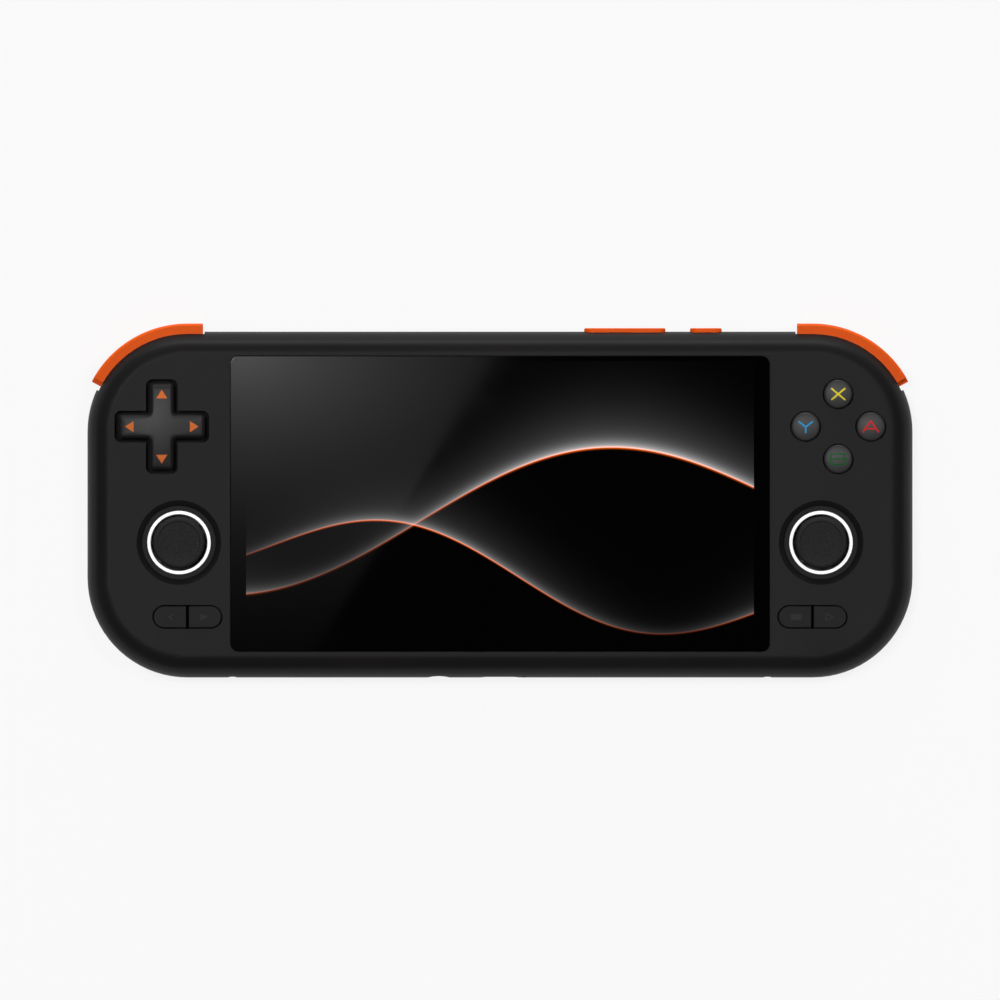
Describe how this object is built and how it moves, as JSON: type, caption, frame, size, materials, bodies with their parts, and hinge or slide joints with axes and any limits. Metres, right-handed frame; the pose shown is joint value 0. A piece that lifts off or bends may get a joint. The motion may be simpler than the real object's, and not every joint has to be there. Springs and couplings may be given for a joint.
{
  "type": "handheld game console",
  "caption": "Slim handheld game console with a wide screen between rounded grips, cross pad, face keys, tilting thumb sticks with lit rings, and orange shoulder keys.",
  "frame": {"origin": "middle of the body's outline, on the flat back that the console lies on", "axes": "+X to the right grip, +Y to the top edge, +Z out of the screen"},
  "size_m": [0.198, 0.0849, 0.0202],
  "materials": {
    "shell_black": "fine matt texture",
    "cover_glass": "polished",
    "display": "dark panel",
    "cast_frame": "die-cast",
    "circuit_board": "solder mask",
    "sheet_steel": "plain",
    "copper_sheet": "rolled",
    "battery_wrap": "foil wrap",
    "black_plastic": "moulded",
    "key_grey": "fine matt texture",
    "grip_rubber": "matt",
    "membrane_rubber": "matt",
    "signal_orange": "fine matt texture",
    "light_guide": "translucent white",
    "slide_plastic": "natural acetal",
    "hard_steel": "ground",
    "black_steel": "black zinc"
  },
  "bodies": {
    "console_body": {"front_shell": "shell_black", "rear_shell": "shell_black", "screen_glass": "cover_glass", "display_panel": "display", "mid_frame": "cast_frame", "main_board": "circuit_board", "shield_can": "sheet_steel", "heat_spreader": "copper_sheet", "battery": "battery_wrap", "usb_port": "sheet_steel", "headphone_jack": "black_plastic", "card_reader": "sheet_steel", "left_speaker": "black_plastic", "right_speaker": "black_plastic", "left_button_board": "circuit_board", "right_button_board": "circuit_board", "dpad_post": "slide_plastic", "dpad_membrane": "membrane_rubber", "face_membrane": "membrane_rubber", "left_menu_membrane": "membrane_rubber", "right_menu_membrane": "membrane_rubber", "trigger_sensors": "black_plastic", "side_key_board": "circuit_board", "case_screws": "black_steel", "board_screws": "hard_steel", "left_stick_ring": "light_guide", "left_stick_housing": "black_plastic", "left_shoulder_pin": "hard_steel", "left_trigger_spring": "hard_steel", "left_bumper_switch": "black_plastic", "right_stick_ring": "light_guide", "right_stick_housing": "black_plastic", "right_shoulder_pin": "hard_steel", "right_trigger_spring": "hard_steel", "right_bumper_switch": "black_plastic"},
    "dpad_ball": {"dpad_ball": "hard_steel"},
    "dpad": {"dpad": "key_grey"},
    "face_button_top": {"face_button_top": "key_grey"},
    "face_button_left": {"face_button_left": "key_grey"},
    "face_button_right": {"face_button_right": "key_grey"},
    "face_button_bottom": {"face_button_bottom": "key_grey"},
    "left_menu_key_outer": {"left_menu_key_outer": "shell_black"},
    "left_menu_key_inner": {"left_menu_key_inner": "shell_black"},
    "left_stick_yoke": {"left_stick_yoke": "slide_plastic"},
    "left_stick_trunnion": {"left_stick_trunnion": "slide_plastic"},
    "left_stick": {"left_stick_shaft": "hard_steel", "left_stick_cap": "grip_rubber"},
    "left_bumper": {"left_bumper": "signal_orange"},
    "left_trigger": {"left_trigger": "signal_orange"},
    "right_menu_key_outer": {"right_menu_key_outer": "shell_black"},
    "right_menu_key_inner": {"right_menu_key_inner": "shell_black"},
    "right_stick_yoke": {"right_stick_yoke": "slide_plastic"},
    "right_stick_trunnion": {"right_stick_trunnion": "slide_plastic"},
    "right_stick": {"right_stick_shaft": "hard_steel", "right_stick_cap": "grip_rubber"},
    "right_bumper": {"right_bumper": "signal_orange"},
    "right_trigger": {"right_trigger": "signal_orange"},
    "volume_key": {"volume_key": "signal_orange"},
    "power_key": {"power_key": "signal_orange"}
  },
  "joints": [
    {"name": "dpad_tilt_x", "type": "hinge", "parent": "console_body", "child": "dpad_ball", "pos_m": [-0.0811, 0.0187, 0.0113], "axis": [1, 0, 0], "range_deg": [-4.5, 4.5], "stiffness_Nm_per_rad": 0.05},
    {"name": "dpad_tilt_y", "type": "hinge", "parent": "dpad_ball", "child": "dpad", "pos_m": [-0.0811, 0.0187, 0.0113], "axis": [0, 1, 0], "range_deg": [-4.5, 4.5], "stiffness_Nm_per_rad": 0.05},
    {"name": "face_top_press", "type": "slide", "parent": "console_body", "child": "face_button_top", "axis": [0, 0, -1], "range_m": [0, 0.001], "stiffness_N_per_m": 500},
    {"name": "face_left_press", "type": "slide", "parent": "console_body", "child": "face_button_left", "axis": [0, 0, -1], "range_m": [0, 0.001], "stiffness_N_per_m": 500},
    {"name": "face_right_press", "type": "slide", "parent": "console_body", "child": "face_button_right", "axis": [0, 0, -1], "range_m": [0, 0.001], "stiffness_N_per_m": 500},
    {"name": "face_bottom_press", "type": "slide", "parent": "console_body", "child": "face_button_bottom", "axis": [0, 0, -1], "range_m": [0, 0.001], "stiffness_N_per_m": 500},
    {"name": "left_menu_outer_press", "type": "slide", "parent": "console_body", "child": "left_menu_key_outer", "axis": [0, 0, -1], "range_m": [0, 0.0005], "stiffness_N_per_m": 700},
    {"name": "left_menu_inner_press", "type": "slide", "parent": "console_body", "child": "left_menu_key_inner", "axis": [0, 0, -1], "range_m": [0, 0.0005], "stiffness_N_per_m": 700},
    {"name": "left_stick_tilt_x", "type": "hinge", "parent": "console_body", "child": "left_stick_yoke", "pos_m": [-0.077, -0.0091, 0.009], "axis": [1, 0, 0], "range_deg": [-14, 14], "stiffness_Nm_per_rad": 0.03},
    {"name": "left_stick_tilt_y", "type": "hinge", "parent": "left_stick_yoke", "child": "left_stick_trunnion", "pos_m": [-0.077, -0.0091, 0.009], "axis": [0, 1, 0], "range_deg": [-14, 14], "stiffness_Nm_per_rad": 0.03},
    {"name": "left_stick_click", "type": "slide", "parent": "left_stick_trunnion", "child": "left_stick", "axis": [0, 0, -1], "range_m": [0, 0.0005], "stiffness_N_per_m": 900},
    {"name": "left_bumper_press", "type": "hinge", "parent": "console_body", "child": "left_bumper", "pos_m": [-0.0685, 0.0347, 0.008], "axis": [0, 0, 1], "range_deg": [0, 3], "stiffness_Nm_per_rad": 0.4},
    {"name": "left_trigger_pull", "type": "hinge", "parent": "console_body", "child": "left_trigger", "pos_m": [-0.0685, 0.0347, 0.008], "axis": [0, 0, 1], "range_deg": [0, 7], "stiffness_Nm_per_rad": 0.2},
    {"name": "right_menu_outer_press", "type": "slide", "parent": "console_body", "child": "right_menu_key_outer", "axis": [0, 0, -1], "range_m": [0, 0.0005], "stiffness_N_per_m": 700},
    {"name": "right_menu_inner_press", "type": "slide", "parent": "console_body", "child": "right_menu_key_inner", "axis": [0, 0, -1], "range_m": [0, 0.0005], "stiffness_N_per_m": 700},
    {"name": "right_stick_tilt_x", "type": "hinge", "parent": "console_body", "child": "right_stick_yoke", "pos_m": [0.077, -0.0091, 0.009], "axis": [1, 0, 0], "range_deg": [-14, 14], "stiffness_Nm_per_rad": 0.03},
    {"name": "right_stick_tilt_y", "type": "hinge", "parent": "right_stick_yoke", "child": "right_stick_trunnion", "pos_m": [0.077, -0.0091, 0.009], "axis": [0, 1, 0], "range_deg": [-14, 14], "stiffness_Nm_per_rad": 0.03},
    {"name": "right_stick_click", "type": "slide", "parent": "right_stick_trunnion", "child": "right_stick", "axis": [0, 0, -1], "range_m": [0, 0.0005], "stiffness_N_per_m": 900},
    {"name": "right_bumper_press", "type": "hinge", "parent": "console_body", "child": "right_bumper", "pos_m": [0.0685, 0.0347, 0.008], "axis": [0, 0, -1], "range_deg": [0, 3], "stiffness_Nm_per_rad": 0.4},
    {"name": "right_trigger_pull", "type": "hinge", "parent": "console_body", "child": "right_trigger", "pos_m": [0.0685, 0.0347, 0.008], "axis": [0, 0, -1], "range_deg": [0, 7], "stiffness_Nm_per_rad": 0.2},
    {"name": "volume_rock", "type": "hinge", "parent": "console_body", "child": "volume_key", "pos_m": [0.02995, 0.0386, 0.008], "axis": [0, 0, 1], "range_deg": [-1.5, 1.5], "stiffness_Nm_per_rad": 0.3},
    {"name": "power_press", "type": "slide", "parent": "console_body", "child": "power_key", "axis": [0, -1, 0], "range_m": [0, 0.0004], "stiffness_N_per_m": 900}
  ]
}
